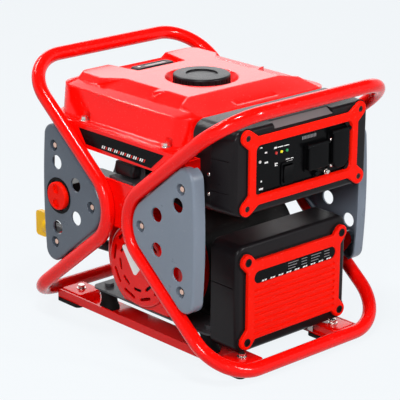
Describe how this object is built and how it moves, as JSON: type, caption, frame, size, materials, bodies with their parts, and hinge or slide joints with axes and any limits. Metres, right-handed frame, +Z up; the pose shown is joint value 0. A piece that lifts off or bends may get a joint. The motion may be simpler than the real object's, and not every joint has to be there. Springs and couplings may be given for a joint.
{
  "type": "portable generator",
  "caption": "Portable open-frame inverter generator: bent red tube frame, top fuel tank, grey side panels, black control housing with red bezel and ribbed inverter cover.",
  "frame": {"origin": "centre of the part's footprint on the floor it stands on", "axes": "+Z up, -Y towards the person at the control panel, -X towards the recoil starter"},
  "size_m": [0.385, 0.486, 0.424],
  "materials": {
    "red_paint": "gloss",
    "tank_paint": "gloss",
    "red_plastic": "satin",
    "grey_plastic": "satin",
    "black_plastic": "satin",
    "black_panel": "gloss",
    "rubber": "matte",
    "zinc_steel": "zinc plated",
    "cast_aluminium": "cast",
    "grey_steel": "satin",
    "forged_steel": "machined",
    "exhaust_steel": "heat darkened",
    "copper": "enamelled",
    "white_plastic": "matte",
    "yellow_plastic": "satin",
    "lamp_plastic": "clear"
  },
  "bodies": {
    "frame": {"front_frame_loop": "red_paint", "rear_frame_loop": "red_paint", "gusset_plates": "red_paint", "left_tank_rail": "red_paint", "right_tank_rail": "red_paint", "left_base_rail": "red_paint", "right_base_rail": "red_paint", "panel_tabs": "red_paint", "housing_brackets": "red_paint", "blower_housing": "red_paint", "recoil_housing": "red_paint", "fuel_tank_upper": "tank_paint", "fuel_tank_lower": "tank_paint", "control_bezel": "red_plastic", "inverter_cover": "red_plastic", "front_left_side_panel": "grey_plastic", "rear_left_side_panel": "grey_plastic", "front_right_side_panel": "grey_plastic", "rear_right_side_panel": "grey_plastic", "control_housing": "black_plastic", "control_housing_back": "black_plastic", "inverter_housing": "black_plastic", "fuel_gauge": "black_plastic", "air_filter": "black_plastic", "spark_plug": "black_plastic", "engine_switch": "black_plastic", "control_panel_face": "black_panel", "ac_sockets": "black_panel", "rubber_feet": "rubber", "vibration_mounts": "rubber", "frame_bolts": "zinc_steel", "side_panel_bolts": "zinc_steel", "housing_screws": "zinc_steel", "ground_terminal": "zinc_steel", "crankcase": "cast_aluminium", "cylinder": "cast_aluminium", "cylinder_head": "cast_aluminium", "alternator_housing": "cast_aluminium", "carburettor": "cast_aluminium", "inverter_module": "cast_aluminium", "engine_cradle": "grey_steel", "rope_guide": "grey_steel", "oil_filler_tube": "grey_steel", "valve_cover": "grey_steel", "muffler": "exhaust_steel", "alternator_stator": "copper", "fuel_strainer": "white_plastic", "status_lamps": "lamp_plastic"},
    "crank": {"crankshaft": "forged_steel", "flywheel": "cast_aluminium", "alternator_rotor": "forged_steel"},
    "recoil_pulley": {"recoil_pulley": "black_plastic"},
    "starter_handle": {"starter_handle": "black_plastic"},
    "fuel_cap": {"fuel_cap": "black_plastic"},
    "left_socket_lid": {"left_socket_lid": "black_panel"},
    "right_socket_lid": {"right_socket_lid": "black_panel"},
    "economy_switch": {"economy_switch": "black_panel"},
    "breaker_button": {"breaker_button": "black_panel"},
    "oil_dipstick": {"oil_dipstick": "yellow_plastic"},
    "switch_knob": {"switch_knob": "red_plastic"}
  },
  "joints": [
    {"name": "crank_spin", "type": "hinge", "parent": "frame", "child": "crank", "pos_m": [0, 0, 0.124], "axis": [1, 0, 0], "continuous": true},
    {"name": "starter_pull", "type": "slide", "parent": "frame", "child": "starter_handle", "axis": [-1, 0, 0], "range_m": [0, 0.6], "stiffness_N_per_m": 20},
    {"name": "recoil_pulley_spin", "type": "hinge", "parent": "frame", "child": "recoil_pulley", "pos_m": [-0.135, 0, 0.124], "axis": [1, 0, 0], "range_deg": [0, 835]},
    {"name": "fuel_cap_turn", "type": "hinge", "parent": "frame", "child": "fuel_cap", "pos_m": [0, 0.01, 0.395], "axis": [0, 0, 1], "range_deg": [0, 90]},
    {"name": "left_socket_lid_hinge", "type": "hinge", "parent": "frame", "child": "left_socket_lid", "pos_m": [0.0295, -0.2143, 0.3355], "axis": [-1, 0, 0], "range_deg": [0, 100], "stiffness_Nm_per_rad": 0.015},
    {"name": "right_socket_lid_hinge", "type": "hinge", "parent": "frame", "child": "right_socket_lid", "pos_m": [0.0785, -0.2143, 0.348], "axis": [-1, 0, 0], "range_deg": [0, 100], "stiffness_Nm_per_rad": 0.015},
    {"name": "economy_switch_rock", "type": "hinge", "parent": "frame", "child": "economy_switch", "pos_m": [-0.03, -0.2095, 0.302], "axis": [1, 0, 0], "range_deg": [-8, 8]},
    {"name": "breaker_press", "type": "slide", "parent": "frame", "child": "breaker_button", "axis": [0, 1, 0], "range_m": [0, 0.003], "stiffness_N_per_m": 200},
    {"name": "oil_dipstick_turn", "type": "hinge", "parent": "frame", "child": "oil_dipstick", "pos_m": [-0.15, 0.205, 0.137], "axis": [0, 1, 0], "range_deg": [0, 720]},
    {"name": "engine_switch_turn", "type": "hinge", "parent": "frame", "child": "switch_knob", "pos_m": [-0.19, 0.137, 0.2145], "axis": [1, 0, 0], "range_deg": [0, 90]}
  ],
  "couplings": [
    {"joint": "recoil_pulley_spin", "follows": "starter_pull", "rad_per_m": 24.1}
  ]
}
